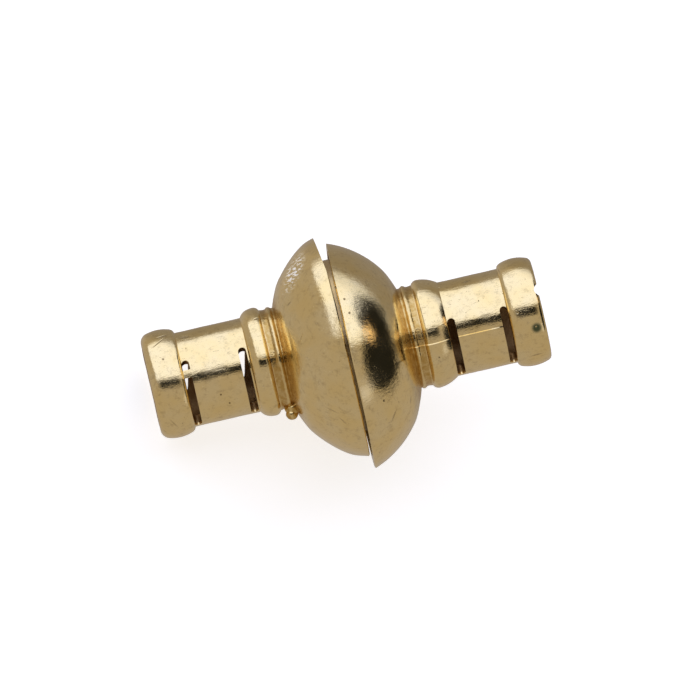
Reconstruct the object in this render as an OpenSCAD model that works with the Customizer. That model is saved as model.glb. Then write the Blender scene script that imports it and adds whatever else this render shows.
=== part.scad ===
// A magnetic clasp for a thick cord, lying closed as it rests on a table.
// Each half is one casting with a disc magnet in its face. The clasp's axis slopes down to the left,
// where the bead touches the table, and the two rims carry the middle.

/* [Domes] */
// Largest diameter of the socket half's dome, the wider one
dome_d = 10.2; // [10:0.02:10.6]
// How much narrower the boss half's dome is
dome_step = 0.18; // [0:0.02:0.4]
// Depth of a dome, from the plane of its rim to the neck
dome_depth = 2.83; // [2.6:0.01:3.2]
// Radius of the dome's curved side
dome_arc = 4.5; // [4:0.05:6]
// Bevel around each rim
rim_bevel = 0.12; // [0.06:0.01:0.2]

/* [Neck] */
// Diameter of the neck between dome and collar
neck_d = 4.54; // [4.3:0.02:4.7]
// Length of the neck
neck_l = 0.4; // [0.36:0.02:0.6]
// Radius of the thin rib that runs round the neck
rib_round = 0.11; // [0.08:0.01:0.14]

/* [Barrels] */
// Length of a half, from the plane of its rim to the end of its bead
half_l = 8.78; // [8.2:0.02:9.6]
// Diameter of the collar at its crest
collar_d = 4.9; // [4.8:0.02:5.2]
// Length of the collar on the boss half
boss_collar_l = 1.1; // [0.9:0.05:1.5]
// Length of the collar on the socket half
socket_collar_l = 1.3; // [0.9:0.05:1.5]
// Distance from the start of the collar to its crest
collar_crest = 0.3; // [0.25:0.01:0.5]
// Radius of the collar's curved crest
collar_arc = 1.6; // [1.4:0.05:2.4]
// Rounding of the collar's two edges
collar_round = 0.1; // [0.05:0.01:0.14]
// Diameter of the plain band between collar and bead
band_d = 4.27; // [4.1:0.01:4.4]
// Diameter of the bead at its crest
bead_d = 4.88; // [4.7:0.02:5.2]
// Length of the bead
bead_l = 1.56; // [1.4:0.02:2]
// Radius of the bead's curved crest
bead_arc = 1.78; // [1.5:0.02:2.4]
// Rounding of the bead's two edges
bead_round = 0.26; // [0.15:0.01:0.26]

/* [Cord bores] */
// Diameter of the bore that the cord is glued into
bore_d = 3.4; // [3:0.05:3.6]
// Depth of the bore
bore_l = 5.4; // [5:0.05:5.8]
// Bevel at the mouth of the bore
bore_bevel = 0.1; // [0.05:0.01:0.15]

/* [Slots] */
// Width of the slots beside the collar
inner_slot_w = 0.36; // [0.2:0.01:0.5]
// Width of the slots beside the bead
outer_slot_w = 0.34; // [0.2:0.01:0.5]
// Angle above the front at which the boss half's front slots start
boss_slot_top = 23; // [5:1:40]
// Angle above the front at which the socket half's front slots start
socket_slot_top = 12; // [5:1:40]
// Angle below the back's middle at which the boss half's back slots start
boss_back_start = 18; // [5:1:40]
// Angle above the back's middle at which the socket half's back slots start
socket_back_start = 14; // [13:1:40]
// Angle from the middle at which all the slots end
slot_end = 76; // [60:1:85]
// How much further out the boss half's back slots sit than the front ones
back_shift = 0.1; // [0:0.01:0.12]

/* [Faces] */
// Thickness of the wall around the recess that takes the boss
recess_wall = 0.57; // [0.5:0.01:0.65]
// Space between that wall and the boss all round, when the halves are in line
boss_play = 0.63; // [0.56:0.01:0.9]
// Depth of the recess
recess_depth = 0.5; // [0.4:0.02:0.6]
// Space between the boss and the floor of the recess, at the middle
face_gap = 0.2; // [0.15:0.01:0.3]
// Bevel around the boss
boss_bevel = 0.08; // [0.04:0.01:0.12]

/* [Magnets] */
// Diameter of each magnet
magnet_d = 6; // [5:0.1:6.2]
// Thickness of each magnet
magnet_t = 1.2; // [1:0.05:1.3]
// Bevel around each magnet
magnet_bevel = 0.12; // [0.05:0.01:0.2]
// Space around and behind each magnet
magnet_fit = 0.05; // [0.03:0.01:0.08]

/* [Closed pose] */
// Space between the planes of the two rims, at the middle
rim_gap = 0.14; // [0.12:0.01:0.3]
// How far one half has slipped sideways on the other
slip = 0.5; // [0.4:0.01:0.54]
// Lean of the boss half's dome on its own barrel
dome_lean = 0.5; // [0:0.1:0.8]
// How far the boss half's barrel sits off its dome's centre
boss_barrel_lift = 0.1; // [0:0.01:0.2]
// How far the socket half's barrel sits off its dome's centre
socket_barrel_lift = 0.18; // [0:0.01:0.2]

/* [Worn rims] */
// Height over the boss dome's centre from which its rim falls back
boss_wear_start = 3; // [2.5:0.05:4]
// Slope of that rim's worn top
boss_wear_slope = 6.9; // [0:0.1:8]
// Height over the socket dome's centre from which its rim falls back
socket_wear_start = 3.6; // [2.5:0.05:4]
// Slope of that rim's worn top
socket_wear_slope = 3.9; // [0:0.1:8]

/* [Casting marks] */
// Radius of the ball of metal left in the boss half's neck
ball_r = 0.27; // [0.2:0.01:0.3]
// Thickness of the web of flash across one slot
web_t = 0.16; // [0.1:0.01:0.3]
// Width of that web
web_w = 0.36; // [0.2:0.01:0.5]

/* [Hidden] */
$fn = 96;
gold = [0.83, 0.69, 0.41];
nickel = [0.72, 0.72, 0.71];
// How far a cutter runs past what it cuts
past = 0.5;
// How far each slot bites into the collar or the bead beside it
slot_bite = 0.02;
// How far the web reaches into the walls on its two sides
web_root = 0.05;
// Angle above the front of the web's upper edge
web_top = 11;
// Angle below the front of the cast ball, which sits in the neck
ball_angle = 78;

socket_dome_d = dome_d;
boss_dome_d = dome_d - dome_step;
recess_d = socket_dome_d - 2 * recess_wall;
boss_d = recess_d - 2 * boss_play;
collar_start = dome_depth + neck_l;
bead_start = half_l - bead_l;
bead_middle = half_l - bead_l / 2;
boss_h = rim_gap + recess_depth - face_gap;

// Centre, as [radius, distance from the rim], of the dome's curved side
// It passes through the widest point of the rim and the end of the neck
function dome_centre(d) =
    let (rim = [d / 2, rim_bevel], root = [neck_d / 2, dome_depth])
    let (chord = root - rim, half = norm(chord) / 2)
    (rim + root) / 2 + sqrt(dome_arc ^ 2 - half ^ 2) * [-chord[1], chord[0]] / norm(chord);

// Slope of the axis when the boss half's rim and bead touch the table,
// with its barrel raised by that much where it stands over the table
function tilt_for(raised) =
    let (across = boss_dome_d / 2 - (bead_d / 2 - bead_arc) + raised, along = bead_middle - rim_bevel)
    atan2(across, along) - asin(bead_arc / norm([across, along]));

// Turn about the axis at which both rims touch the table
function roll_for(tilt) =
    let (rise = (rim_gap + 2 * rim_bevel) * tan(tilt) - (socket_dome_d - boss_dome_d) / 2)
    asin(max(-1, min(1, rise / slip)));

rest_tilt = tilt_for(boss_barrel_lift * sin(roll_for(tilt_for(0))));
rest_roll = roll_for(rest_tilt);
// Height of the clasp's middle over the table, and its place across
rest_z = (rim_gap / 2 + rim_bevel) * sin(rest_tilt)
    + (boss_dome_d / 2 - slip / 2 * sin(rest_roll)) * cos(rest_tilt);
rest_y = (socket_dome_d - boss_dome_d) / 4;

// From the clasp's own frame to the table. In its own frame, X runs along the axis from the boss half
// to the socket half, Y points up in front view and Z points to the front.
module resting() {
    translate([0, rest_y, rest_z]) rotate([0, -rest_tilt, 0]) rotate([rest_roll, 0, 0]) children();
}

// Turns a shape that is built up along Z from its rim, so that its X comes to the front
module facing_left() { rotate([0, -90, 0]) children(); }
module facing_right() { rotate([180, 0, 0]) rotate([0, 90, 0]) children(); }

module at_boss_dome() {
    resting() translate([-rim_gap / 2, slip / 2, 0]) rotate([0, 0, dome_lean]) facing_left() children();
}
module at_boss_barrel() {
    resting() translate([-rim_gap / 2, slip / 2 + boss_barrel_lift, 0]) facing_left() children();
}
module at_socket_dome() {
    resting() translate([rim_gap / 2, -slip / 2, 0]) facing_right() children();
}
module at_socket_barrel() {
    resting() translate([rim_gap / 2, socket_barrel_lift - slip / 2, 0]) facing_right() children();
}

// Outline of a ring with a curved crest and two rounded edges, as radius against distance
module crested_outline(d, start, crest, end, arc, round) {
    middle = d / 2 - arc;
    rounds = [start + round, end - round];
    heights = [for (t = rounds) middle + sqrt((arc - round) ^ 2 - (t - crest) ^ 2)];
    reach = [for (t = rounds) crest + (t - crest) * arc / (arc - round)];
    intersection() {
        translate([middle, crest]) circle(r = arc);
        translate([0, reach[0]]) square([d, reach[1] - reach[0]]);
    }
    for (i = [0, 1]) translate([heights[i], rounds[i]]) circle(r = round);
    translate([0, start]) square([heights[0], crest - start]);
    translate([0, crest]) square([heights[1], end - crest]);
}

// A dome from its rim to just inside the neck
module dome(d) {
    top = dome_depth + neck_l / 4;
    rotate_extrude() intersection() {
        translate(dome_centre(d)) circle(r = dome_arc);
        polygon([[0, 0], [d / 2 - rim_bevel, 0], [d / 2, rim_bevel], [d / 2, top], [0, top]]);
    }
}

// Wedge that the rim has lost to wear at its top, from a height over the dome's centre
// Built like the dome, with the top on the side given, 1 or -1
module rim_wear(d, from, slope, side) {
    reach = d - from;
    rotate([90, 0, 90]) linear_extrude(d, center = true)
        polygon([[side * from, 0], [side * d, reach * tan(slope)], [side * d, -past], [side * from, -past]]);
}

// Neck, rib, collar, band and bead
module barrel(collar_l) {
    rotate_extrude() {
        translate([0, dome_depth - neck_l]) square([neck_d / 2, 2 * neck_l + collar_crest]);
        translate([0, collar_start]) square([band_d / 2, bead_middle - collar_start]);
        translate([neck_d / 2, dome_depth + neck_l / 2]) circle(r = rib_round);
        crested_outline(collar_d, collar_start, collar_start + collar_crest, collar_start + collar_l,
            collar_arc, collar_round);
        crested_outline(bead_d, bead_start, bead_middle, half_l, bead_arc, bead_round);
    }
}

// The blind bore for the cord
module cord_bore() {
    translate([0, 0, half_l - bore_l]) cylinder(d = bore_d, h = bore_l + past);
    translate([0, 0, half_l - bore_bevel])
        cylinder(d1 = bore_d, d2 = bore_d + 2 * bore_bevel + 2 * past, h = bore_bevel + past);
}

// A slot with round ends through the wall of the tube, between two angles from the front
module slot(start, w, from, to) {
    inside = bore_d / 2 - past;
    wall = bead_d / 2 - inside + past;
    end_turn = w / band_d * 180 / PI;
    ends = [from + end_turn, to - end_turn];
    translate([0, 0, start]) {
        rotate([0, 0, ends[0]]) rotate_extrude(angle = ends[1] - ends[0])
            translate([inside, -w / 2]) square([wall, w]);
        for (a = ends) rotate([0, 0, a]) translate([inside, 0, 0]) rotate([0, 90, 0]) cylinder(d = w, h = wall);
    }
}

// Distances from the rim to the middles of the slot beside the collar and the slot beside the bead
function slot_middles(collar_l) =
    [collar_start + collar_l - slot_bite + inner_slot_w / 2, bead_start + slot_bite - outer_slot_w / 2];

// A barrel with its bore
module bored_barrel(collar_l) {
    difference() {
        barrel(collar_l);
        cord_bore();
    }
}

module boss_barrel() {
    middles = slot_middles(boss_collar_l);
    difference() {
        bored_barrel(boss_collar_l);
        for (i = [0, 1]) {
            w = i == 0 ? inner_slot_w : outer_slot_w;
            slot(middles[i], w, -slot_end, boss_slot_top);
            slot(middles[i] + back_shift, w, 180 - slot_end, 180 + boss_back_start);
        }
    }
}

module socket_barrel() {
    middles = slot_middles(socket_collar_l);
    difference() {
        bored_barrel(socket_collar_l);
        for (i = [0, 1]) {
            w = i == 0 ? inner_slot_w : outer_slot_w;
            slot(middles[i], w, -socket_slot_top, slot_end);
            slot(middles[i], w, 180 + socket_back_start, 180 + slot_end);
        }
    }
}

// The pocket that a magnet is glued into, open at the level given and going inwards from there
module magnet_pocket(level) {
    translate([0, 0, level - past]) cylinder(d = magnet_d + 2 * magnet_fit, h = magnet_t + magnet_fit + past);
}

module magnet(level) {
    r = magnet_d / 2;
    translate([0, 0, level]) rotate_extrude()
        polygon([[0, 0], [r - magnet_bevel, 0], [r, magnet_bevel], [r, magnet_t - magnet_bevel],
            [r - magnet_bevel, magnet_t], [0, magnet_t]]);
}

// The boss, from its face to inside the dome
module boss() {
    translate([0, 0, boss_bevel - boss_h]) cylinder(d = boss_d, h = boss_h - boss_bevel + past);
    translate([0, 0, -boss_h]) cylinder(d1 = boss_d - 2 * boss_bevel, d2 = boss_d, h = boss_bevel);
}

// A thin skin of metal that ran across the slot beside the bead
module flash_web() {
    sweep = web_w / band_d * 360 / PI;
    rotate([0, 0, web_top - sweep]) rotate_extrude(angle = sweep)
        translate([band_d / 2 - web_t, bead_start - outer_slot_w - web_root])
            square([web_t, outer_slot_w + 2 * web_root]);
}

// A ball of metal that stayed in the neck, on a lump of its own
module cast_ball() {
    rotate([0, 0, -ball_angle]) {
        translate([neck_d / 2 + ball_r * 1.2, 0, dome_depth + neck_l / 4]) sphere(r = ball_r);
        translate([neck_d / 2 + ball_r / 6, 0, dome_depth]) sphere(r = ball_r * 4 / 3);
    }
}

module boss_half() {
    color(gold) {
        at_boss_dome() difference() {
            union() {
                difference() {
                    dome(boss_dome_d);
                    rim_wear(boss_dome_d, boss_wear_start, boss_wear_slope, 1);
                }
                boss();
            }
            magnet_pocket(-boss_h);
        }
        at_boss_barrel() {
            boss_barrel();
            flash_web();
            cast_ball();
        }
    }
}

module socket_half() {
    color(gold) {
        at_socket_dome() difference() {
            dome(socket_dome_d);
            rim_wear(socket_dome_d, socket_wear_start, socket_wear_slope, -1);
            translate([0, 0, -past]) cylinder(d = recess_d, h = recess_depth + past);
            magnet_pocket(recess_depth);
        }
        at_socket_barrel() socket_barrel();
    }
}

module boss_magnet() {
    color(nickel) at_boss_dome() magnet(-boss_h);
}

module socket_magnet() {
    color(nickel) at_socket_dome() magnet(recess_depth);
}

boss_half();
socket_half();
boss_magnet();
socket_magnet();
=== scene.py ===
# %% [markdown]
# # A magnetic clasp, cast in brass and plated gold
# The clasp joins the two ends of a thick cord. Each half is one casting: a shallow dome with a magnet in its
# face, a grooved neck, a collar, a slotted tube for the cord and a rounded bead at the end. Here the CAD model
# is loaded first, because it says how large everything is and where it sits. The looks are built around it.

# %% Load the imported model
import math

import bpy
from mathutils import Matrix, Vector


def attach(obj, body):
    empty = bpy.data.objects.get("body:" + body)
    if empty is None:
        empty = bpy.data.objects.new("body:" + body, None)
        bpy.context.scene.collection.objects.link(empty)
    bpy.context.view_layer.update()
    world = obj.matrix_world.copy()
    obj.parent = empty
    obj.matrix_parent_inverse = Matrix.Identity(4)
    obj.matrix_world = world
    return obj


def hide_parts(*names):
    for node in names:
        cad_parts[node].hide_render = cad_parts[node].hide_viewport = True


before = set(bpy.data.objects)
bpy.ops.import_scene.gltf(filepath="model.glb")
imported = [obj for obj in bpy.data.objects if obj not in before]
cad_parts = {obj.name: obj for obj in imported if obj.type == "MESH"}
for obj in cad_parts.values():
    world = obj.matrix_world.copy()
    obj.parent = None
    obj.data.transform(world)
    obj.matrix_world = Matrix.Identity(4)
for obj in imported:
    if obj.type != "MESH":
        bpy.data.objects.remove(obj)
bpy.ops.object.select_all(action="DESELECT")
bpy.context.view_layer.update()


# %% [markdown]
# ## Where the clasp lies
# The clasp rests on one bead and on both rims, so its axis slopes. Modelling on that slope would be awkward, so
# the castings are turned and cut in millimetres, in a frame of their own: X runs along the axis from the boss
# half to the socket half, Y points up in the picture and Z to the front. One matrix then brings a finished
# casting to its place on the table, in metres.

# %% From the clasp's own frame to the table
REST_TILT, REST_ROLL = math.radians(17.531069), math.radians(3.444418)
REST_HEIGHT, REST_SIDE = 4.820214, 0.045
MM = 0.001

to_table = (
    Matrix.Scale(MM, 4)
    @ Matrix.Translation((0, REST_SIDE, REST_HEIGHT))
    @ Matrix.Rotation(-REST_TILT, 4, "Y")
    @ Matrix.Rotation(REST_ROLL, 4, "X")
)
along, up, front = (Vector(to_table.col[i][:3]).normalized() for i in range(3))
print("along, up and front on the table:", [[round(c, 4) for c in v] for v in (along, up, front)])

# %% [markdown]
# ## Turning an outline
# Everything on a half but its slots is round, so on the real clasp the master was turned on a lathe before it
# was moulded. Stacked cylinders could stand in for it, but they would meet in hard corners. So it is done as on
# the lathe: an outline is drawn point by point, by extruding one vertex, and then spun round the axis. A half
# is drawn from the plane of its rim outwards, in the CAD model's own sizes. Arcs are cut into short steps, so
# that the waviness of the casting has points to move later on.

# %% Helpers that draw and spin an outline
STEP, SAME_POINT, MERGE = 0.1, 1e-4, 1e-3


def arc(centre, radius, first, last, step=STEP):
    """Points on an arc, between two angles in degrees: 0 points away from the axis and 90 along it."""
    count = max(2, math.ceil(abs(math.radians(last - first)) * radius / step))
    angles = [math.radians(first + (last - first) * i / count) for i in range(count + 1)]
    return [(centre[0] + radius * math.cos(a), centre[1] + radius * math.sin(a)) for a in angles]


def line(first, last, step=STEP):
    """Points on a straight line, both ends among them."""
    count = max(1, math.ceil(math.dist(first, last) / step))
    return [tuple(a + (b - a) * i / count for a, b in zip(first, last)) for i in range(count + 1)]


def fade(value, off, on):
    """0 at off, 1 at on, smooth between them."""
    t = max(0.0, min(1.0, (value - off) / (on - off)))
    return t * t * (3 - 2 * t)


def turn_on_lathe(name, outline, steps):
    """Draws the outline as a chain of edges and spins it into a closed solid."""
    points = [outline[0]] + [b for a, b in zip(outline, outline[1:]) if math.dist(a, b) > SAME_POINT]
    bpy.ops.object.select_all(action="DESELECT")
    bpy.ops.mesh.primitive_plane_add(size=1, location=(0, 0, 0))
    turned = bpy.context.object
    turned.name = name
    bpy.ops.object.mode_set(mode="EDIT")
    bpy.ops.mesh.select_all(action="SELECT")
    bpy.ops.mesh.merge(type="CENTER")
    bpy.ops.transform.translate(value=(points[0][0], 0, points[0][1]))
    for a, b in zip(points, points[1:]):
        reach = (b[0] - a[0], 0, b[1] - a[1])
        bpy.ops.mesh.extrude_vertices_move(TRANSFORM_OT_translate={"value": reach})
    bpy.ops.mesh.select_all(action="SELECT")
    bpy.ops.mesh.spin(steps=steps, angle=math.tau, center=(0, 0, 0), axis=(0, 0, 1))
    bpy.ops.mesh.select_all(action="SELECT")
    bpy.ops.mesh.remove_doubles(threshold=MERGE)
    bpy.ops.mesh.normals_make_consistent(inside=False)
    bpy.ops.object.mode_set(mode="OBJECT")
    print(name, "turned with", len(turned.data.polygons), "faces")
    return turned


# %% [markdown]
# ## The domes
# A dome is a shallow cap with a thin rim, and the socket dome is hollowed so that the other half's boss fits
# in. A flattened sphere would be quicker, but it would be fuller at the rim than the real side, which is part
# of a circle. So the outline runs from the axis at the face, round the bevelled rim, up an arc and back to the
# axis. The boss dome swells a little next to its rim. Both are cut back at the root, where the neck's first
# groove begins.

# %% Outlines of the two domes
# how deep a dome is, the radius of the arc of its side, and the radius of each rim
DOME_DEPTH, DOME_ARC, BOSS_DOME_R, SOCKET_DOME_R = 2.83, 4.5, 5.01, 5.1
# how far from the face a rim is widest, and the small bevel at the face
RIM_BEVEL, RIM_EDGE = 0.12, 0.05
NECK_R, NECK_L = 2.27, 0.4
RECESS_R, RECESS_DEPTH = 4.53, 0.5
# how high the swell is and how deep the root is cut, each with places along the axis
BOSS_SWELL, SWELL_PEAK, SWELL_END = 0.07, 0.8, 2.0
ROOT_CUT, ROOT_START, ROOT_FULL = 0.22, 2.25, 2.9
DOME_STEPS, FACE_STEP = 288, 0.5


def dome_side(radius, swell):
    """The curved side of a dome: an arc through the widest point of the rim and the end of the neck."""
    rim, root = Vector((radius, RIM_BEVEL)), Vector((NECK_R, DOME_DEPTH))
    chord = root - rim
    half = chord.length / 2
    across = Vector((-chord.y, chord.x)).normalized()
    centre = (rim + root) / 2 + math.sqrt(DOME_ARC**2 - half**2) * across
    top = DOME_DEPTH + NECK_L / 4
    first = math.degrees(math.asin((RIM_EDGE - centre.y) / DOME_ARC))
    last = math.degrees(math.asin((top - centre.y) / DOME_ARC))
    side = []
    for r, z in arc(centre, DOME_ARC, first, last):
        swollen = r + swell * fade(z, 0, SWELL_PEAK) * fade(z, SWELL_END, SWELL_PEAK)
        side.append((swollen - ROOT_CUT * fade(z, ROOT_START, ROOT_FULL), z))
    return side


def dome_outline(radius, face, swell):
    """The face is a list of points from the axis to the rim."""
    side = dome_side(radius, swell)
    return face + [(side[0][0] - RIM_EDGE, 0)] + side + [(0, side[-1][1])]


flat_face = line((0, 0), (BOSS_DOME_R - RIM_BEVEL, 0), FACE_STEP)[:-1]
recess_corner = (RECESS_R, RECESS_DEPTH)
hollow_face = line((0, RECESS_DEPTH), recess_corner, FACE_STEP) + line(recess_corner, (RECESS_R, 0))
boss_dome = turn_on_lathe("boss_dome", dome_outline(BOSS_DOME_R, flat_face, BOSS_SWELL), DOME_STEPS)
socket_dome = turn_on_lathe("socket_dome", dome_outline(SOCKET_DOME_R, hollow_face, 0), DOME_STEPS)

# %% [markdown]
# ## The barrels
# The neck has one thin rib between two grooves. Collar and bead have a curved crest and rounded edges, and on
# the boss half the outer edges of both are rounder. The tube between them is plain. Rings could be added one by
# one and joined, but every seam would need care, so the whole barrel is one outline. The bore for the cord ends
# behind the inner slot and is part of it.

# %% Outlines of the two barrels
# rise above the neck and place past the dome
RIB_STATIONS = (
    (-0.02, -0.04), (0.0, 0.0), (0.028, 0.04), (0.054, 0.08), (0.065, 0.12), (0.054, 0.16),
    (0.028, 0.2), (0.0, 0.24), (-0.02, 0.29), (-0.02, 0.37), (-0.01, 0.44), (0, 0.47),
)
COLLAR_START, COLLAR_SHIFT = DOME_DEPTH + NECK_L, 0.09
# a ring's largest radius, the radius of its crest's arc, and how round its inner edge is
COLLAR_R, COLLAR_ARC, COLLAR_ROUND, COLLAR_CREST = 2.45, 1.6, 0.3, 0.34
BEAD_R, BEAD_ARC, BEAD_ROUND = 2.44, 1.78, 0.26
BOSS_COLLAR_L, SOCKET_COLLAR_L = 1.1, 1.3
HALF_L, BEAD_L = 8.78, 1.56
BEAD_START = HALF_L - BEAD_L
BAND_R, BORE_R, BORE_L, BORE_BEVEL = 2.135, 1.7, 5.4, 0.1
# how round the outer edges of collar and bead are
BOSS_ROUNDINGS, SOCKET_ROUNDINGS = (0.6, 0.42), (0.14, BEAD_ROUND)
BARREL_STEPS, ROUND_STEP, CREST_STEP, BORE_STEP, END_STEP = 208, 0.04, 0.08, 0.3, 0.6


def crested(start, end, crest, radius, curve, roundings, bases):
    """A ring with a curved crest and two rounded edges, between the surfaces before and after it."""
    middle = radius - curve
    places = (start + roundings[0], end - roundings[1])
    reaches = [curve - rounding for rounding in roundings]
    heights = [middle + math.sqrt(reach**2 - (t - crest) ** 2) for t, reach in zip(places, reaches)]
    turns = [math.degrees(math.asin((t - crest) / reach)) for t, reach in zip(places, reaches)]
    feet = [
        math.degrees(math.acos(max(0, (base - height) / rounding)))
        for base, height, rounding in zip(bases, heights, roundings)
    ]
    return (
        arc((heights[0], places[0]), roundings[0], -feet[0], turns[0], ROUND_STEP)
        + arc((middle, crest), curve, turns[0], turns[1], CREST_STEP)
        + arc((heights[1], places[1]), roundings[1], turns[1], feet[1], ROUND_STEP)
    )


def barrel_outline(collar_length, collar_rounding, bead_rounding):
    """Neck, rib, collar, tube and bead, then back through the bore."""
    collar_end = COLLAR_START + collar_length
    neck = line((0, DOME_DEPTH - NECK_L), (NECK_R, DOME_DEPTH - NECK_L), END_STEP)
    rib = [(NECK_R + rise, DOME_DEPTH + place) for rise, place in RIB_STATIONS]
    collar = crested(
        COLLAR_START + COLLAR_SHIFT, collar_end, COLLAR_START + COLLAR_CREST, COLLAR_R, COLLAR_ARC,
        (COLLAR_ROUND, collar_rounding), (NECK_R, BAND_R),
    )
    band = line((BAND_R, collar_end), (BAND_R, BEAD_START))
    bead = crested(
        BEAD_START, HALF_L, HALF_L - BEAD_L / 2, BEAD_R, BEAD_ARC,
        (BEAD_ROUND, bead_rounding), (BAND_R, BORE_R),
    )
    floor = HALF_L - BORE_L
    bore = [(BORE_R + BORE_BEVEL, HALF_L)] + line((BORE_R, HALF_L - BORE_BEVEL), (BORE_R, floor), BORE_STEP)
    return neck + rib + collar + band[:-1] + bead + bore + line((BORE_R, floor), (0, floor), END_STEP)


boss_barrel = turn_on_lathe("boss_barrel", barrel_outline(BOSS_COLLAR_L, *BOSS_ROUNDINGS), BARREL_STEPS)
socket_barrel = turn_on_lathe(
    "socket_barrel", barrel_outline(SOCKET_COLLAR_L, *SOCKET_ROUNDINGS), BARREL_STEPS
)

# %% [markdown]
# ## Where the two moulds met
# A casting mould comes in two parts. Where they didn't quite line up, one side of the casting stands a little
# proud and leaves a thin ledge. A line in the bump would shade like one but leave the outline true. So the
# casting is cut along the joint with two bisects, close together, and a Displace modifier moves the side beyond
# the joint towards the front, as far as a vertex group lets it.

# %% A ledge along the mould joint
LEDGE_WIDTH, FRONT_FADE = 0.06, 1
# the joint's angle in degrees, the ledge's height, and where it starts, is full, wanes and ends along the axis
LEDGES = (
    (socket_barrel, 11, 0.055, (2.0, 2.6, 6.2, 7.2)),
    (socket_dome, 11, 0.03, (1.7, 2.4, 3.0, 4.0)),
    (boss_barrel, 2, 0.05, (2.7, 2.85, 3.5, 3.9)),
)


def pick(piece):
    """Selects this piece alone and makes it the active one."""
    bpy.ops.object.select_all(action="DESELECT")
    piece.select_set(True)
    bpy.context.view_layer.objects.active = piece


def mould_ledge(casting, angle, height, stretch):
    """Raises what lies beyond the joint."""
    turn = math.radians(angle)
    away = Vector((-math.sin(turn), math.cos(turn), 0))
    pick(casting)
    bpy.ops.object.mode_set(mode="EDIT")
    for offset in (0, LEDGE_WIDTH):
        bpy.ops.mesh.select_all(action="SELECT")
        bpy.ops.mesh.bisect(plane_co=away * offset, plane_no=away)
    bpy.ops.object.mode_set(mode="OBJECT")
    group = casting.vertex_groups.new(name="proud side")
    start, full, waning, end = stretch
    for v in casting.data.vertices:
        if v.co.dot(away) > LEDGE_WIDTH / 2 and v.co.x > 0:
            weight = fade(v.co.z, start, full) * fade(v.co.z, end, waning)
            group.add([v.index], weight * fade(v.co.x, 0, FRONT_FADE), "REPLACE")
    shift = casting.modifiers.new("ledge", "DISPLACE")
    shift.direction, shift.mid_level, shift.strength, shift.vertex_group = "X", 0, height, group.name
    bpy.ops.object.modifier_apply(modifier=shift.name)
    casting.vertex_groups.clear()
    print(casting.name, "has a ledge of", height, "mm")


for ledge in LEDGES:
    mould_ledge(*ledge)

# %% [markdown]
# ## The skin of the casting
# A polished casting is never quite true: its surface rolls by a hundredth of a millimetre. That is what makes
# the reflections ragged. Sculpting it by hand would differ each time, so two Displace modifiers with cloud
# textures do it, a long wave and a short one.

# %% Waves in the metal
# length of a wave and height from trough to crest
WAVES = ((1.6, 0.03), (0.45, 0.008))


def roll_surface(casting, wavelength, height):
    """Moves the surface in and out by a cloud texture in its own millimetres."""
    texture = bpy.data.textures.new(f"{casting.name} waves", "CLOUDS")
    texture.noise_scale = wavelength
    texture.noise_depth = 1
    waves = casting.modifiers.new("waves", "DISPLACE")
    waves.texture, waves.texture_coords, waves.strength, waves.mid_level = texture, "LOCAL", height, 0.5
    pick(casting)
    bpy.ops.object.modifier_apply(modifier=waves.name)


for casting in (boss_dome, socket_dome, boss_barrel, socket_barrel):
    for wavelength, height in WAVES:
        roll_surface(casting, wavelength, height)
print("the castings roll by up to", 0.5 * sum(height for _, height in WAVES), "mm each way")

# %% [markdown]
# ## Worn rims
# At the top of the picture, both rims have lost a sliver of metal, so the gap opens there like a V. It could be
# a change in the outline, but that would go all the way round. One bisect with a slanted plane takes the sliver
# off on one side only and closes the cut.

# %% Bisect the rims
# how far up the wear starts, its slope in degrees, and which way up is in the dome's own frame
RIM_WEAR = ((boss_dome, 3.0, 6.9, 1), (socket_dome, 3.6, 3.9, -1))


def wear_rim(dome, start, slope, side):
    """Cuts off what lies before a slanted plane through the height given."""
    angle = math.radians(slope)
    pick(dome)
    bpy.ops.object.mode_set(mode="EDIT")
    bpy.ops.mesh.select_all(action="SELECT")
    bpy.ops.mesh.bisect(
        plane_co=(0, side * start, 0),
        plane_no=(0, -side * math.sin(angle), math.cos(angle)),
        use_fill=True,
        clear_inner=True,
    )
    bpy.ops.object.mode_set(mode="OBJECT")
    print(dome.name, "worn from", start, "mm up, at", slope, "degrees")


for worn in RIM_WEAR:
    wear_rim(*worn)

# %% [markdown]
# ## Slots through the tube
# Each tube has slots beside the collar and beside the bead, in front and behind, through which glue can escape.
# A plain box would cut them too, but with square ends and a flat floor. So a slot is cut with a curved bar that
# is extruded round the axis in small turns, narrow at its ends so that they come out round.

# %% Helpers that make a curved bar and fuse two solids
END_ANGLES, BAR_STEP = (8, 25, 42, 58, 74, 90), 0.25


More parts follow.
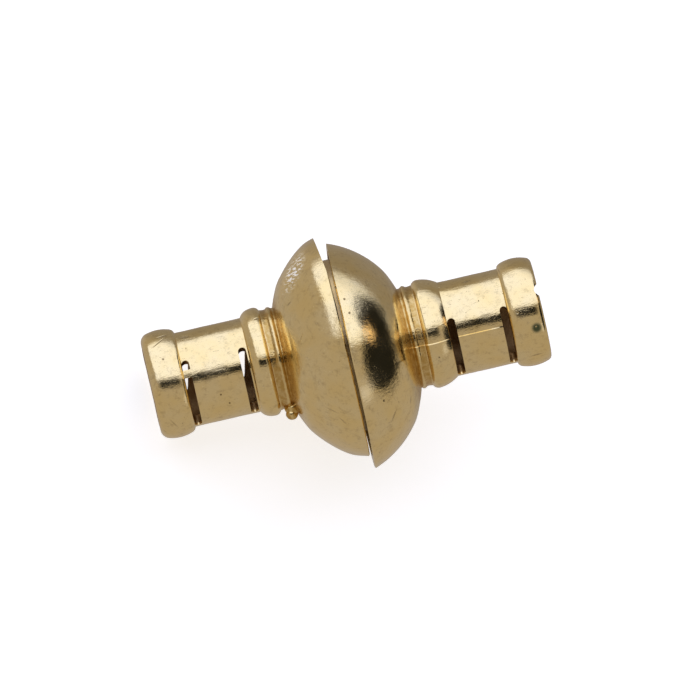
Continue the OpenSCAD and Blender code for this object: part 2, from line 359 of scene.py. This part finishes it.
def curved_bar(name, radii, middle, width, first, last, lean=0.0, round_ends=True):
    """A bar round the axis between two angles in degrees. It leans along the axis by the angle given."""
    reach = (radii[0] + radii[1]) / 2
    ends = width / 2 if round_ends else 0
    arc_length = math.radians(last - first) * BAND_R
    inside = [ends * (1 - math.cos(math.radians(a))) for a in END_ANGLES] if round_ends else [0]
    plain = max(2, math.ceil((arc_length - 2 * ends) / BAR_STEP))
    places = inside + [ends + (arc_length - 2 * ends) * i / plain for i in range(1, plain)]
    places += [arc_length - p for p in reversed(inside)]

    def half_width(place):
        depth = min(place, arc_length - place)
        return width / 2 if depth >= ends else math.sqrt(max(0, ends**2 - (ends - depth) ** 2))

    def turn_about_axis(angle):
        bpy.ops.transform.rotate(
            value=angle, orient_axis="Z", center_override=(0, 0, middle), constraint_axis=(False, False, True)
        )

    bpy.ops.object.select_all(action="DESELECT")
    bpy.ops.mesh.primitive_plane_add(size=1, location=(reach, 0, middle), rotation=(math.pi / 2, 0, 0))
    bar = bpy.context.object
    bar.name = name
    bpy.ops.object.transform_apply(location=True, rotation=True, scale=True)
    bpy.ops.object.mode_set(mode="EDIT")
    bpy.ops.mesh.select_all(action="SELECT")
    section = (radii[1] - radii[0], 1, 2 * half_width(places[0]))
    bpy.ops.transform.resize(value=section, center_override=(reach, 0, middle))
    slide = math.tan(math.radians(lean))
    for a, b in zip(places, places[1:]):
        bpy.ops.mesh.extrude_region_move(TRANSFORM_OT_translate={"value": (0, 0, 0)})
        turn_about_axis((b - a) / BAND_R)
        centre = (0, 0, middle + slide * a)
        bpy.ops.transform.resize(value=(1, 1, half_width(b) / half_width(a)), center_override=centre)
        bpy.ops.transform.translate(value=(0, 0, slide * (b - a)))
    bpy.ops.mesh.select_all(action="SELECT")
    bpy.ops.transform.translate(value=(0, 0, -slide * arc_length / 2))
    turn_about_axis(math.radians(first))
    bpy.ops.mesh.normals_make_consistent(inside=False)
    bpy.ops.object.mode_set(mode="OBJECT")
    return bar


def fuse(body, tool, how):
    """Joins the tool to the body (UNION) or cuts it out (DIFFERENCE), and removes the tool."""
    boolean = body.modifiers.new("fuse", "BOOLEAN")
    boolean.operation, boolean.object, boolean.solver = how, tool, "MANIFOLD"
    pick(body)
    bpy.ops.object.modifier_apply(modifier=boolean.name)
    bpy.data.objects.remove(tool)
    return body


print("the end of a bar is rounded in", len(END_ANGLES), "steps")

# %% Cut the slots
INNER_SLOT, OUTER_SLOT, SLOT_BITE, BEYOND = 0.36, 0.34, 0.02, 0.5
WALL = (BORE_R - BEYOND, BEAD_R + BEYOND)
# the angles between which the front and the back slots run, and how the back ones lean and are shifted
SLOTS = (
    (boss_barrel, BOSS_COLLAR_L, (-76, 23), (104, 198), 12, -0.06),
    (socket_barrel, SOCKET_COLLAR_L, (-12, 76), (194, 256), 0, 0),
)

for barrel, collar_length, front_arc, back_arc, back_lean, back_shift in SLOTS:
    inner_slot = COLLAR_START + collar_length - SLOT_BITE + INNER_SLOT / 2
    outer_slot = BEAD_START + SLOT_BITE - OUTER_SLOT / 2
    for middle, width in ((inner_slot, INNER_SLOT), (outer_slot, OUTER_SLOT)):
        fuse(barrel, curved_bar("slot", WALL, middle, width, *front_arc), "DIFFERENCE")
        fuse(barrel, curved_bar("slot", WALL, middle + back_shift, width, *back_arc, back_lean), "DIFFERENCE")
    print(barrel.name, "has slots at", round(inner_slot, 2), "and", round(outer_slot, 2), "mm from its rim")

# %% [markdown]
# ## Marks of the casting
# A thin web of metal still crosses the boss half's outer slot, and a ball of metal sits under its neck, where a
# bubble in the mould filled. The socket half's bead has a nick in its end. They could be painted on, but they
# stand out from the metal and catch the light. So they start as a bar and as spheres, the spheres get a
# rolled surface of their own, and then all are joined to the casting or cut from it.

# %% Web, ball and nick
WEB_T, WEB_W, WEB_TOP, WEB_ROOT, WEB_SUNK = 0.16, 0.36, 11, 0.05, 0.01
BALL_R, BALL_ANGLE, BALL_ROUGH = 0.27, -78, 0.04
ROOT_R, ROOT_ROUGH = BALL_R * 1.35, 0.09
BALL_REACH, ROOT_REACH = NECK_R + 1.2 * BALL_R, NECK_R + BALL_R / 6
NICK_R, NICK_STRETCH, NICK_SIDE, NICK_OUT, NICK_ROUGH = 0.36, 8, -0.81, 0.06, 0.06


def lump(name, radius, centre, roughness, squash=(1, 1, 1)):
    """A rough ball of metal."""
    bpy.ops.object.select_all(action="DESELECT")
    bpy.ops.mesh.primitive_ico_sphere_add(subdivisions=4, radius=radius, location=centre, scale=squash)
    ball = bpy.context.object
    ball.name = name
    bpy.ops.object.transform_apply(location=True, rotation=True, scale=True)
    roll_surface(ball, radius, roughness)
    return ball


sweep = math.degrees(WEB_W / BAND_R)
web = curved_bar(
    "web", (BAND_R - WEB_T, BAND_R - WEB_SUNK), BEAD_START - OUTER_SLOT / 2, OUTER_SLOT + 2 * WEB_ROOT,
    WEB_TOP - sweep, WEB_TOP, round_ends=False,
)
fuse(boss_barrel, web, "UNION")
at = math.radians(BALL_ANGLE)
ball_place = (BALL_REACH * math.cos(at), BALL_REACH * math.sin(at), DOME_DEPTH + NECK_L / 4)
root_place = (ROOT_REACH * math.cos(at), ROOT_REACH * math.sin(at), DOME_DEPTH)
fuse(boss_barrel, lump("cast_ball", BALL_R, ball_place, BALL_ROUGH), "UNION")
fuse(boss_barrel, lump("cast_root", ROOT_R, root_place, ROOT_ROUGH), "UNION")
nick_place = (0, NICK_SIDE, HALF_L + NICK_OUT)
fuse(socket_barrel, lump("nick", NICK_R, nick_place, NICK_ROUGH, (NICK_STRETCH, 1, 1)), "DIFFERENCE")
print("ball at", [round(c, 2) for c in ball_place], "and nick at", [round(c, 2) for c in nick_place])

# %% [markdown]
# ## Boss and pockets
# The boss on one face fits the recess in the other with room to slip sideways. In the middle of both is the
# pocket into which the magnet is glued. All three are round and a plain cylinder would do, but the lathe gives
# the boss its bevel in the same go.

# %% The boss and the pockets' cutters
BOSS_R, BOSS_H, BOSS_BEVEL, BOSS_ROOT = 3.9, 0.44, 0.08, 0.5
POCKET_R, POCKET_DEPTH, POCKET_ABOVE = 3.05, 1.25, 0.4
BOSS_STEPS, BOSS_TOP_STEP, POCKET_STEPS = 160, 0.4, 144
boss_top = line((0, -BOSS_H), (BOSS_R - BOSS_BEVEL, -BOSS_H), BOSS_TOP_STEP)
boss_side = [(BOSS_R, BOSS_BEVEL - BOSS_H), (BOSS_R, BOSS_ROOT), (0, BOSS_ROOT)]
fuse(boss_dome, turn_on_lathe("boss", boss_top + boss_side, BOSS_STEPS), "UNION")

for dome, level in ((boss_dome, -BOSS_H), (socket_dome, RECESS_DEPTH)):
    above, floor = level - POCKET_ABOVE, level + POCKET_DEPTH
    outline = [(0, above), (POCKET_R, above), (POCKET_R, floor), (0, floor)]
    fuse(dome, turn_on_lathe("pocket", outline, POCKET_STEPS), "DIFFERENCE")

# %% [markdown]
# ## Putting the halves together
# A half was built along its own axis. It is turned to lie along the clasp's, dome and barrel are fused into one
# casting, as the real one is, and the whole is brought to the table. The halves have slipped past each other a
# little and their barrels sit a little off the domes' middles, so each of the four has a place of its own.

# %% Place and join
RIM_GAP, SLIP, DOME_LEAN = 0.14, 0.5, math.radians(0.5)
BOSS_LIFT, SOCKET_LIFT = 0.1, 0.18
SMOOTH_ANGLE = math.radians(32)
facing_left = Matrix.Rotation(math.radians(-90), 4, "Y")
facing_right = Matrix.Rotation(math.pi, 4, "X") @ Matrix.Rotation(math.radians(90), 4, "Y")


def place(casting, matrix):
    """Brings the casting there and applies it, so that the piece itself stays at the origin, unturned."""
    casting.matrix_world = matrix
    pick(casting)
    bpy.ops.object.transform_apply(location=True, rotation=True, scale=True)


leaning = Matrix.Rotation(DOME_LEAN, 4, "Z")
place(boss_dome, Matrix.Translation((-RIM_GAP / 2, SLIP / 2, 0)) @ leaning @ facing_left)
place(boss_barrel, Matrix.Translation((-RIM_GAP / 2, SLIP / 2 + BOSS_LIFT, 0)) @ facing_left)
place(socket_dome, Matrix.Translation((RIM_GAP / 2, -SLIP / 2, 0)) @ facing_right)
place(socket_barrel, Matrix.Translation((RIM_GAP / 2, SOCKET_LIFT - SLIP / 2, 0)) @ facing_right)
boss_casting = fuse(boss_dome, boss_barrel, "UNION")
socket_casting = fuse(socket_dome, socket_barrel, "UNION")
boss_casting.name, socket_casting.name = "boss_casting", "socket_casting"
for casting in (boss_casting, socket_casting):
    place(casting, to_table)
    bpy.ops.object.shade_smooth_by_angle(angle=SMOOTH_ANGLE)
    casting.data.name = casting.name
    print(casting.name, "has", sum(len(p.vertices) - 2 for p in casting.data.polygons), "triangles")

# %% [markdown]
# ## The gold plate
# Polished gold plate over brass mirrors the room, so most of what one sees is the studio. A picture wrapped
# round it would carry its own light with it, so the finish is worked out from the place on the metal instead,
# in millimetres in the clasp's frame: a fine peel and grain, drawn lines and dashes, pits and scratches, a dull
# brown inside the tubes that is painted shade on unpolished metal, the same brown as painted shade between the
# faces, amber in the grooves of the necks that is painted shade and reflection on unpolished metal, a whitish
# sheen painted on the boss half's dome and a green spot on the socket half's bead.

# %% Helpers for node trees
class Recipe:
    """A material's node tree, with short words for the nodes used here."""

    def __init__(self, name):
        self.material = bpy.data.materials.new(name)
        self.material.use_nodes = True
        self.tree = self.material.node_tree
        self.shader = self.tree.nodes["Principled BSDF"]

    def add(self, kind, **settings):
        node = self.tree.nodes.new(kind)
        for key, value in settings.items():
            setattr(node, key, value)
        return node

    def feed(self, socket, value):
        """Links a socket to another one, or sets it to a plain value."""
        if isinstance(value, bpy.types.NodeSocket):
            self.tree.links.new(value, socket)
        else:
            socket.default_value = value

    def calc(self, how, first, *others):
        """Works through a row of values, two at a time."""
        for other in others or (0.0,):
            node = self.add("ShaderNodeMath", operation=how)
            self.feed(node.inputs[0], first)
            self.feed(node.inputs[1], other)
            first = node.outputs[0]
        return first

    def times(self, *values):
        return self.calc("MULTIPLY", *values)

    def plus(self, *values):
        return self.calc("ADD", *values)

    def most(self, *values):
        return self.calc("MAXIMUM", *values)

    def ramp(self, value, off, on, low=0.0, high=1.0):
        """Goes smoothly from low to high as the value goes from off to on."""
        node = self.add("ShaderNodeMapRange", interpolation_type="SMOOTHSTEP")
        for socket, setting in zip(node.inputs, (value, off, on, low, high)):
            self.feed(socket, setting)
        return node.outputs[0]

    def noise(self, where, scale, detail=2.0, roughness=0.5):
        """A cloud, with its waves to the millimetre, its detail and its roughness."""
        node = self.add("ShaderNodeTexNoise")
        self.feed(node.inputs["Vector"], where)
        node.inputs["Scale"].default_value = scale
        node.inputs["Detail"].default_value = detail
        node.inputs["Roughness"].default_value = roughness
        return node.outputs["Fac"]

    def mix(self, amount, a, b):
        """Mixes two colours."""
        node = self.add("ShaderNodeMix", data_type="RGBA")
        self.feed(node.inputs[0], amount)
        self.feed(node.inputs[6], a)
        self.feed(node.inputs[7], b)
        return node.outputs[2]

    def mapped(self, where, place=(0, 0, 0), turn=(0, 0, 0), scale=(1, 1, 1), how="POINT"):
        """The same place in a frame that is moved, turned and stretched."""
        node = self.add("ShaderNodeMapping", vector_type=how)
        self.feed(node.inputs["Vector"], where)
        node.inputs["Location"].default_value = place
        node.inputs["Rotation"].default_value = turn
        node.inputs["Scale"].default_value = scale
        return node.outputs[0]

    def in_clasp_frame(self):
        """Object coordinates, turned and scaled to the clasp's own millimetres."""
        place, turn, scale = to_table.inverted().decompose()
        where = self.add("ShaderNodeTexCoord").outputs["Object"]
        return self.mapped(where, place, turn.to_euler("XYZ"), scale)

    def coordinates(self, where):
        """X, Y and Z of a place."""
        node = self.add("ShaderNodeSeparateXYZ")
        self.feed(node.inputs[0], where)
        return node.outputs

    def distance(self, a, b):
        """How far a point with these two coordinates is from where both are 0."""
        return self.calc("SQRT", self.plus(self.times(a, a), self.times(b, b)))

    def mark(self, where, centre, sizes, angle=0.0, soft=0.5):
        """1 inside an ellipsoid, 0 outside. The angle in degrees turns it about the line of sight."""
        local = self.mapped(where, centre, (0, 0, math.radians(angle)), sizes, "TEXTURE")
        node = self.add("ShaderNodeVectorMath", operation="LENGTH")
        self.feed(node.inputs[0], local)
        return self.ramp(node.outputs["Value"], 1.0, soft)

    def finish(self, colour, polish, height, depth):
        """Feeds colour, roughness and a bump of the given depth to the shader."""
        bump = self.add("ShaderNodeBump")
        bump.inputs["Strength"].default_value = 1.0
        bump.inputs["Distance"].default_value = depth
        self.feed(bump.inputs["Height"], height)
        self.feed(self.shader.inputs["Base Color"], colour)
        self.feed(self.shader.inputs["Roughness"], polish)
        self.feed(self.shader.inputs["Normal"], bump.outputs[0])


# %% Where no polishing wheel reaches, and where shade is painted
TUBES_FROM, TUBES_FULL = 2.9, 3.2
INSIDE_FROM, INSIDE_FULL = BAND_R - 0.03, BAND_R - 0.16
# the neck's edges are ragged, and half of the raggedness is what they are off by on average
RAGGED = 0.16
NECK_START = DOME_DEPTH + RIM_GAP / 2 + RAGGED / 2
AMBER_FROM, AMBER_FULL, AMBER_WANES, AMBER_TO = -0.4, -0.15, 0.44, 0.56
RIB_CREST, RIB_CORE, RIB_FOOT, ON_RIB = 0.12, 0.03, 0.09, 0.3
# distance along the axis and from it
FACES_END, FACES_FULL = (0.64, 4.58), (0.61, 4.5)


# the tubes' inside gets a dark brown that is painted shade, partly on unpolished metal
def in_tubes(r, where):
    """1 inside the tubes, 0 on the outside. Each tube has an axis of its own."""
    x, y, z = r.coordinates(where)
    axis = r.ramp(x, -0.1, 0.1, SLIP / 2 + BOSS_LIFT, SOCKET_LIFT - SLIP / 2)
    radius = r.distance(r.calc("SUBTRACT", y, axis), z)
    far = r.ramp(r.calc("ABSOLUTE", x), TUBES_FROM, TUBES_FULL)
    return r.times(far, r.ramp(radius, INSIDE_FROM, INSIDE_FULL))


# the neck's grooves get an amber that is painted shade and reflection, partly on unpolished metal
def in_neck(r, where):
    """1 in the neck's grooves, less on its rib, with ragged edges on the dome and the collar."""
    far = r.calc("ABSOLUTE", r.coordinates(where)[0])
    ragged = r.plus(far, r.times(r.noise(where, 2.2, 3, 0.6), RAGGED))
    from_dome = r.ramp(ragged, NECK_START + AMBER_FROM, NECK_START + AMBER_FULL)
    from_collar = r.ramp(ragged, NECK_START + AMBER_TO, NECK_START + AMBER_WANES)
    from_rib = r.calc("ABSOLUTE", r.calc("SUBTRACT", ragged, NECK_START + RIB_CREST))
    return r.times(from_dome, from_collar, r.ramp(from_rib, RIB_CORE, RIB_FOOT, ON_RIB, 1.0))


# the faces between the halves get the same brown as painted shade
def between_faces(r, where):
    """1 on the faces that meet when the clasp is closed."""
    x, y, z = r.coordinates(where)
    radius = r.distance(y, z)
    near = r.ramp(r.calc("ABSOLUTE", x), FACES_END[0], FACES_FULL[0])
    return r.times(near, r.ramp(radius, FACES_END[1], FACES_FULL[1]))


print("the necks are amber from", round(NECK_START + AMBER_FROM, 2), "to", round(NECK_START + AMBER_TO, 2))

# %% Colours and marks of the gold plate
GOLD, PALE_GOLD, WARM_GOLD = (0.95, 0.74, 0.34, 1), (0.94, 0.78, 0.44, 1), (0.9, 0.62, 0.22, 1)
# the pale white below is a painted sheen on the boss half's dome
TARNISH, GREEN, PAINTED_SHEEN = (0.16, 0.1, 0.035, 1), (0.03, 0.06, 0.02, 1), (0.93, 0.91, 0.86, 1)
# the dull brown is painted shade, partly on unpolished metal, and the amber is painted shade and reflection in
# the grooves
UNPOLISHED_AND_SHADE, GROOVE_AMBER_SHADE = (0.34, 0.19, 0.07, 1), (0.55, 0.34, 0.085, 1)
PEEL_DEPTH = 0.008 * MM
# centre, half sizes and angle
GREEN_SPOT = ((8.4, -0.88, 2.15), (0.31, 0.3, 0.6), 0)
# where the painted whitish sheen lies on the boss half's dome
SHEEN_PATCH = ((-1.55, 3.9, 1.9), (0.42, 1.3, 3.0), -35)
SCRATCHES = [
    ((2.25, -2.75, 3.1), (0.33, 0.035, 1.5), 75), ((-1.3, -2.4, 4.2), (0.5, 0.03, 1.5), -40),
    ((-0.9, -3.0, 4.0), (0.4, 0.03, 1.5), -55), ((-8.12, 2.2, 1.5), (0.45, 0.04, 1.5), 27),
    ((-8.2, -1.45, 2.0), (0.38, 0.035, 1.5), -56), ((8.16, -2.05, 1.4), (0.38, 0.04, 1.5), 2),
    ((-1.9, 1.0, 4.0), (0.3, 0.025, 1.5), 60), ((1.36, -3.26, 3.17), (0.42, 0.04, 1.5), 57),
    ((-3.61, 2.28, 1.5), (0.2, 0.06, 1.5), 5), ((-7.86, 2.45, 1.3), (0.42, 0.045, 1.5), 5),
    ((-6.9, 2.2, 1.1), (0.36, 0.08, 1.0), -3), ((5.84, 1.82, 1.0), (0.28, 0.06, 1.0), 5),
    ((-2.07, 2.6, 2.6), (0.2, 0.05, 1.5), 40), ((7.35, 2.0, 1.3), (0.05, 0.3, 1.0), 10),
]
# centres of the pits, which all have one size
PIT_SIZE = (0.065, 0.065, 0.6)
PITS = [
    (0.35, 2.25, 4.3), (0.43, 1.6, 4.7), (-0.1, 2.95, 4.1), (1.05, -2.5, 4.0), (-0.55, -3.85, 3.4),
    (-5.9, -0.65, 1.9), (7.72, -0.05, 2.4), (-8.05, 1.45, 2.1), (-5.6, -1.1, 1.7), (3.9, -1.2, 2.0),
]
print("the gold plate has", len(PITS), "pits and", len(SCRATCHES), "scratches")


# %% Gold plate
def gold_plate(name):
    r = Recipe(name)
    where = r.in_clasp_frame()
    # what the surface does all over
    long_waves = r.noise(where, 0.9, 2)
    peel = r.noise(where, 4.5, 3, 0.6)
    grain = r.noise(where, 22, 2, 0.6)
    lines = r.noise(r.mapped(where, turn=(0.3, 0.2, 0.5), scale=(1.2, 14, 6)), 3, 2)
    dashes = r.noise(r.mapped(where, scale=(0.9, 3.4, 3.4)), 2.4, 3, 0.6)
    hairs = r.noise(r.mapped(where, turn=(0.1, 0.6, -0.9), scale=(0.8, 26, 12)), 3, 1)
    mottle = r.noise(where, 3.2, 4, 0.75)
    # single marks and where the finish differs
    pits = r.ramp(r.noise(where, 9, 1), 0.77, 0.82)
    for centre in PITS:
        pits = r.most(pits, r.mark(where, centre, PIT_SIZE, 0, 0.3))
    cuts = r.times(r.ramp(hairs, 0.72, 0.8), r.ramp(long_waves, 0.45, 0.62))
    for centre, sizes, angle in SCRATCHES:
        cuts = r.most(cuts, r.mark(where, centre, sizes, angle, 0.2))
    green = r.times(r.mark(where, *GREEN_SPOT, 0.4), r.ramp(r.noise(where, 4, 3, 0.7), 0.2, 0.4))
    # a whitish sheen is painted in streaks on the boss half's dome
    streaks = r.noise(r.mapped(where, turn=(0, 0, 0.9), scale=(0.7, 5, 2)), 2.5, 1.5)
    sheen = r.times(r.mark(where, *SHEEN_PATCH, 0.3), r.ramp(streaks, 0.45, 0.65))
    # the brown inside the tubes and between the faces is painted shade, partly on unpolished metal
    inside = r.most(in_tubes(r, where), r.times(between_faces(r, where), 0.55))
    groove = in_neck(r, where)
    # colour, from the plate itself to what lies on it
    colour = r.mix(r.ramp(long_waves, 0.2, 0.8), GOLD, PALE_GOLD)
    colour = r.mix(r.ramp(peel, 0.6, 0.8, 0, 0.25), colour, WARM_GOLD)
    colour = r.mix(r.ramp(mottle, 0.48, 0.75, 0, 0.28), colour, TARNISH)
    # amber in the neck's grooves: painted shade and reflection, partly on unpolished metal
    colour = r.mix(r.times(groove, r.ramp(peel, 0.35, 0.6, 0.55, 0.9)), colour, GROOVE_AMBER_SHADE)
    # the brown inside is painted shade, partly on unpolished metal
    for mask, amount, tint in (
        (cuts, 0.45, TARNISH), (pits, 0.8, TARNISH), (inside, 0.85, UNPOLISHED_AND_SHADE), (sheen, 0.85, PAINTED_SHEEN),
        (green, 0.92, GREEN),
    ):
        colour = r.mix(r.times(mask, amount), colour, tint)
    # roughness
    polish = r.ramp(r.plus(long_waves, r.times(grain, 0.35)), 0.4, 0.9, 0.07, 0.17)
    for mask, amount in ((cuts, 0.2), (pits, 0.3), (sheen, 0.35), (green, 0.4), (inside, 0.35), (groove, 0.1)):
        polish = r.plus(polish, r.times(mask, amount))
    # height of the surface, in shares of the peel's depth
    height = r.plus(
        r.times(peel, 0.55), r.times(grain, 0.26), r.times(lines, 0.12), r.times(dashes, 0.7),
        r.times(r.noise(where, 7, 2), groove, 2.0),
    )
    height = r.calc("SUBTRACT", height, r.times(r.most(cuts, pits), 1.4))
    r.finish(colour, polish, height, PEEL_DEPTH)
    # the painted sheen and the green spot aren't metal
    dull = r.most(r.times(sheen, 0.85), r.times(green, 0.3))
    r.feed(r.shader.inputs["Metallic"], r.calc("SUBTRACT", 1.0, dull))
    return r.material


gold = gold_plate("gold plate")
print("gold plate has", len(gold.node_tree.nodes), "nodes")

# %% [markdown]
# ## The magnets
# A disc magnet comes nickel plated from its maker: a bright grey skin, with fine scuffs from snapping together
# and duller specks. A plain disc needs no new mesh: the CAD magnets have the right shape, so they stay and only
# their material changes.

# %% Nickel plate
NICKEL, BRIGHT_NICKEL, DULL_SPECK = (0.62, 0.61, 0.58, 1), (0.72, 0.71, 0.69, 1), (0.3, 0.28, 0.24, 1)
SCUFF_DEPTH = 0.003 * MM


def nickel_plate(name):
    r = Recipe(name)
    where = r.in_clasp_frame()
    cloud = r.noise(where, 1.4, 3)
    grain = r.noise(where, 30, 2)
    specks = r.noise(where, 7, 2)
    scuffs = r.ramp(r.noise(r.mapped(where, turn=(0.8, 0.3, 0.2), scale=(2, 18, 3)), 3, 1), 0.6, 0.68)
    colour = r.mix(r.ramp(cloud, 0.35, 0.7), NICKEL, BRIGHT_NICKEL)
    colour = r.mix(r.ramp(specks, 0.66, 0.74, 0, 0.5), colour, DULL_SPECK)
    polish = r.plus(r.ramp(cloud, 0.3, 0.7, 0.16, 0.28), r.times(scuffs, 0.2))
    r.finish(colour, polish, r.calc("SUBTRACT", grain, scuffs), SCUFF_DEPTH)
    r.shader.inputs["Metallic"].default_value = 1.0
    return r.material


nickel = nickel_plate("nickel plate")
print("nickel plate has", len(nickel.node_tree.nodes), "nodes")

# %% [markdown]
# ## Finish and body
# The castings are new meshes. Each gets its plate, rides on a body of the motion model and stands for its CAD
# solid, which is hidden. Joining the two halves would be simpler to draw, but then the clasp couldn't open. The
# magnets are the CAD model's own objects, so only what is in their material slots changes.

# %% Give each piece its finish and its body
for casting, body, node in (
    (boss_casting, "boss_side", "boss_half"),
    (socket_casting, "socket_side", "socket_half"),
):
    casting.data.materials.clear()
    casting.data.materials.append(gold)
    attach(casting, body)
    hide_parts(node)
for name in ("boss_magnet", "socket_magnet"):
    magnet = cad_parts[name]
    magnet.material_slots[0].material = nickel
    print(name, "keeps its CAD mesh of", len(magnet.data.polygons), "faces")

# %% [markdown]
# ## Camera
# The photograph looks almost straight down at the clasp, with its axis turned on the picture. A camera close by
# would show what is near it larger. A long lens from far away shows next to no perspective, as in the
# photograph.

# %% The camera
PICTURE_TURN, CAMERA_SWING = math.radians(12.9), math.radians(1)
FRAME_WIDTH, DISTANCE, SENSOR = 31.11 * MM, 0.9, 36
AIM_RIGHT, AIM_UP = 0.151, 0.036
to_camera = (front * math.cos(CAMERA_SWING) - along * math.sin(CAMERA_SWING)).normalized()
rightwards = along * math.cos(CAMERA_SWING) + front * math.sin(CAMERA_SWING)
image_right = rightwards * math.cos(PICTURE_TURN) - up * math.sin(PICTURE_TURN)
image_up = rightwards * math.sin(PICTURE_TURN) + up * math.cos(PICTURE_TURN)
aim = to_table @ Vector((0, 0, 0)) + image_right * AIM_RIGHT * MM + image_up * AIM_UP * MM
lens = bpy.data.cameras.new("camera")
lens.sensor_width = SENSOR
lens.lens = SENSOR * DISTANCE / FRAME_WIDTH
lens.clip_end = 10
camera = bpy.data.objects.new("camera", lens)
bpy.context.scene.collection.objects.link(camera)
turn = Matrix((image_right, image_up, to_camera)).transposed().to_4x4()
camera.matrix_world = Matrix.Translation(aim + to_camera * DISTANCE) @ turn
bpy.context.scene.camera = camera
print("the camera looks down by", round(math.degrees(math.asin(to_camera.z)), 1), "degrees")

# %% [markdown]
# ## Floor and light
# The clasp lies on a plain pale table. Polished metal shows its surroundings, so the light is a tent that has
# to look right in the reflections. Lamps and cards could be set up around the clasp, but their hard edges would
# show in the gold. So the tent is drawn in the world shader, where each edge can be as soft as in the
# photograph. It is dim and warm all round, with a bright, cool window on the upper side. At the height of the
# lens there is a dark slit, and on the right there are two dark gaps and a small warm card. A faint card lights
# the clasp from the lower right, and low down at the upper right it is dusk. The table doesn't show in
# reflections, where the tent takes its place.

# %% The table
TABLE_SIZE, PAPER, GLOW = 1.2, (0.8, 0.8, 0.8, 1), 0.67
bpy.ops.object.select_all(action="DESELECT")
bpy.ops.mesh.primitive_plane_add(size=TABLE_SIZE, location=(0, 0, 0))
table = bpy.context.object
table.name = "table"
table.visible_glossy = False
paper = Recipe("table")
paper.shader.inputs["Base Color"].default_value = PAPER
paper.shader.inputs["Roughness"].default_value = 0.9
paper.shader.inputs["Specular IOR Level"].default_value = 0.0
paper.shader.inputs["Emission Color"].default_value = (1, 1, 1, 1)
paper.shader.inputs["Emission Strength"].default_value = GLOW
table.data.materials.append(paper.material)
print("the table is", TABLE_SIZE, "m wide and glows with a strength of", GLOW)


# %% The tent's node tree
class Tent(Recipe):
    """The world's node tree, with the same short words."""

    def __init__(self):
        self.world = bpy.data.worlds.new("light tent")
        bpy.context.scene.world = self.world
        self.world.use_nodes = True
        self.tree = self.world.node_tree
        self.shader = self.tree.nodes["Background"]
        self.ray = self.add("ShaderNodeTexCoord").outputs["Generated"]

    def share(self, direction):
        """How far a ray points that way, from -1 to 1."""
        node = self.add("ShaderNodeVectorMath", operation="DOT_PRODUCT")
        self.feed(node.inputs[0], self.ray)
        node.inputs[1].default_value = direction
        return node.outputs["Value"]

    def patch(self, to_right, upwards, outwards, off, on, strength=1.0):
        """A round patch of the tent, around the direction that the first three numbers give."""
        direction = (rightwards * to_right + up * upwards + to_camera * outwards).normalized()
        return self.ramp(self.share(direction), off, on, 0.0, strength)


tent = Tent()
right, above, ahead = tent.share(rightwards), tent.share(up), tent.share(to_camera)
print("right of the camera is", [round(c, 3) for c in rightwards])

# %% Window, slit, gaps and cards
EVEN, WINDOW, DARK = (0.42, 0.37, 0.325, 1), (1.08, 1.13, 1.42, 1), (0.015, 0.015, 0.015, 1)
WARM_CARD, BACKDROP = (1.0, 0.72, 0.45, 1), (0.95, 0.95, 0.95, 1)
NEARLY_BEHIND = 0.01

# a surface that leans by some angle to the side and by another upwards sends the eye this way
halfway = tent.most(tent.plus(ahead, 1.0), NEARLY_BEHIND)
lean = tent.calc("DIVIDE", right, tent.calc("SQRT", tent.times(halfway, 2.0)))
tilt = tent.calc("DIVIDE", above, halfway)
side = tent.plus(lean, tent.ramp(tilt, 0.0, 1.0, 0, 0.11))
# the window starts a little above the middle, and its left edge leans outwards
window = tent.times(
    tent.ramp(above, 0.14, 0.25),
    tent.ramp(ahead, -0.32, -0.16),
    tent.ramp(side, -0.285, -0.25),
)
# the slit is level, and runs from a little left of the middle to the right
slit = tent.times(
    tent.ramp(tent.calc("ABSOLUTE", above), 0.18, 0.12),
    tent.ramp(lean, -0.28, -0.16),
    tent.ramp(right, 0.75, 0.5),
    tent.ramp(ahead, 0.0, 0.15),
)
# each patch has its direction, where it fades out and where it is full, and its strength
low_gap = tent.patch(0.97, -0.12, 0.2, 0.89, 0.93)
high_gap = tent.patch(0.93, 0.33, 0.1, 0.92, 0.96)
dusk = tent.patch(0.5, 0.55, -0.67, 0.55, 0.9, 0.35)
faint_card = tent.patch(0.68, -0.56, 0.47, 0.98, 0.995, 0.3)
warm_card = tent.patch(0.91, 0.24, 0.33, 0.991, 0.996)
gaps = tent.most(slit, tent.most(low_gap, high_gap))
light = EVEN
for amount, tint in (
    (window, WINDOW), (dusk, DARK), (faint_card, WINDOW), (gaps, DARK), (warm_card, WARM_CARD),
):
    light = tent.mix(amount, light, tint)
seen = tent.add("ShaderNodeLightPath").outputs["Is Camera Ray"]
tent.feed(tent.shader.inputs["Color"], tent.mix(seen, light, BACKDROP))
tent.shader.inputs["Strength"].default_value = 1.0
bpy.context.scene.view_settings.view_transform = "Standard"
print("the tent is", EVEN, "all round,", WINDOW, "in the window and", DARK, "in the gaps")
